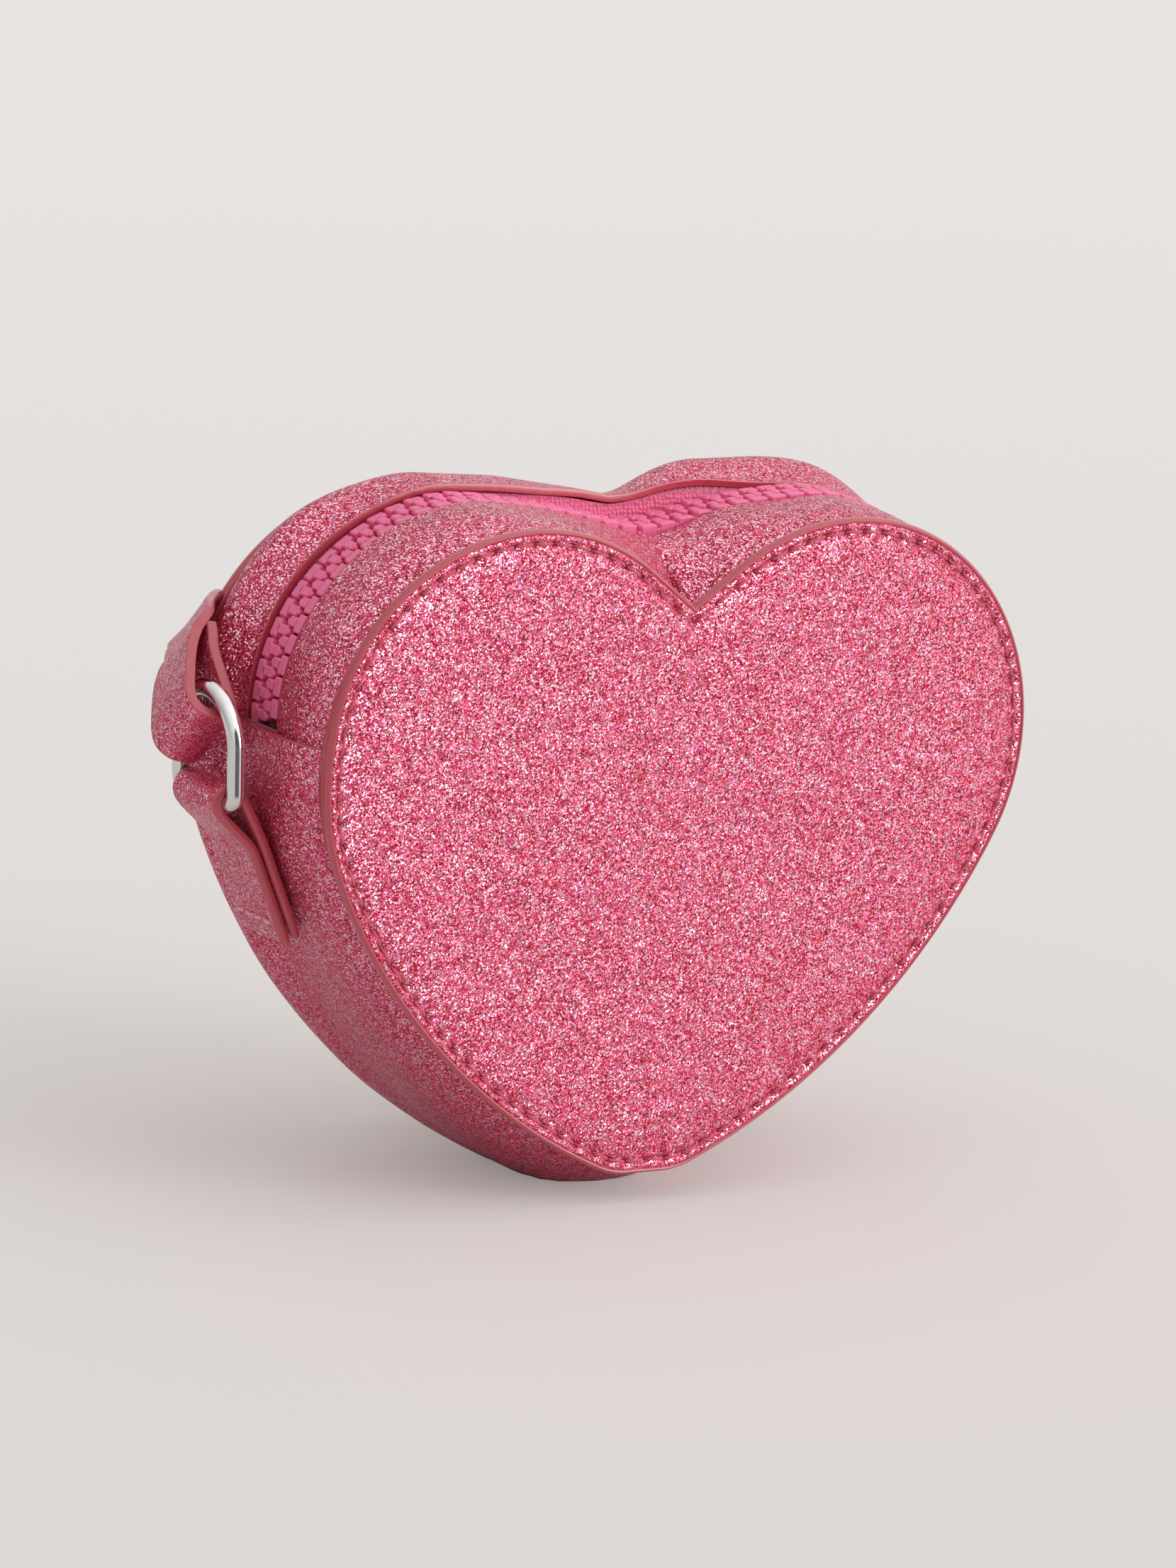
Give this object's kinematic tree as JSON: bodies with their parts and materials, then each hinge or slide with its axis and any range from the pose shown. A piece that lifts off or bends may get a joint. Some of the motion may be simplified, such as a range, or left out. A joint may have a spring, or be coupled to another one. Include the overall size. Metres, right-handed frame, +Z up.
{
  "type": "crossbody bag",
  "caption": "Small heart-shaped crossbody bag of pink glitter leather with a moulded zip over the top, rings in side tabs and a flat strap rolled up behind.",
  "frame": {"origin": "on the floor, under the middle of the bag", "axes": "+Z up, -Y out of the front panel, +X to the right as seen from the front"},
  "size_m": [0.183, 0.0671, 0.1281],
  "materials": {
    "glitter": "multi-tone pink glitter on coated leather",
    "board": "stiffening board",
    "lining": "woven lining",
    "tape": "woven zip tape",
    "teeth": "moulded hot pink",
    "metal": "polished"
  },
  "bodies": {
    "bag": {"front_panel": "glitter", "back_panel": "glitter", "front_stiffener": "board", "back_stiffener": "board", "lining_front": "lining", "lining_back": "lining", "lining_gusset": "lining", "zip_gusset_front": "glitter", "zip_gusset_rear": "glitter", "lower_gusset": "glitter", "zip_tape_front": "tape", "zip_tape_rear": "tape", "zip_teeth_front": "teeth", "zip_teeth_rear": "teeth", "zip_bottom_stop": "teeth", "zip_top_stop_front": "teeth", "zip_top_stop_rear": "teeth", "anchor_tab_left": "glitter", "anchor_tab_right": "glitter", "strap_left_run": "glitter", "strap_right_run": "glitter", "strap_coil": "glitter"},
    "slider": {"zip_slider": "metal"},
    "puller": {"zip_puller": "metal"},
    "left_ring": {"ring_left": "metal"},
    "right_ring": {"ring_right": "metal"},
    "left_strap_end": {"strap_end_left": "glitter"},
    "right_strap_end": {"strap_end_right": "glitter"}
  },
  "joints": [
    {"name": "zip_slide", "type": "hinge", "parent": "bag", "child": "slider", "pos_m": [0.0382, 0, 0.09095], "axis": [0, -1, 0], "range_deg": [0, 57], "deforming": ["zip_teeth_front", "zip_teeth_rear"]},
    {"name": "puller_flip", "type": "hinge", "parent": "slider", "child": "puller", "pos_m": [0.0733, 0, 0.10961], "axis": [0, -1, 0], "range_deg": [0, 150]},
    {"name": "left_ring_swing", "type": "hinge", "parent": "bag", "child": "left_ring", "pos_m": [-0.08514, 0, 0.07564], "axis": [0, -1, 0], "range_deg": [0, 75]},
    {"name": "right_ring_swing", "type": "hinge", "parent": "bag", "child": "right_ring", "pos_m": [0.08514, 0, 0.07564], "axis": [0, 1, 0], "range_deg": [0, 75]},
    {"name": "left_strap_turn", "type": "hinge", "parent": "left_ring", "child": "left_strap_end", "pos_m": [-0.08637, 0.00106, 0.09614], "axis": [0, -0.7071, 0.7071], "range_deg": [0, 12]},
    {"name": "right_strap_turn", "type": "hinge", "parent": "right_ring", "child": "right_strap_end", "pos_m": [0.08637, 0.00106, 0.09614], "axis": [0, 0.7071, -0.7071], "range_deg": [0, 12]}
  ]
}
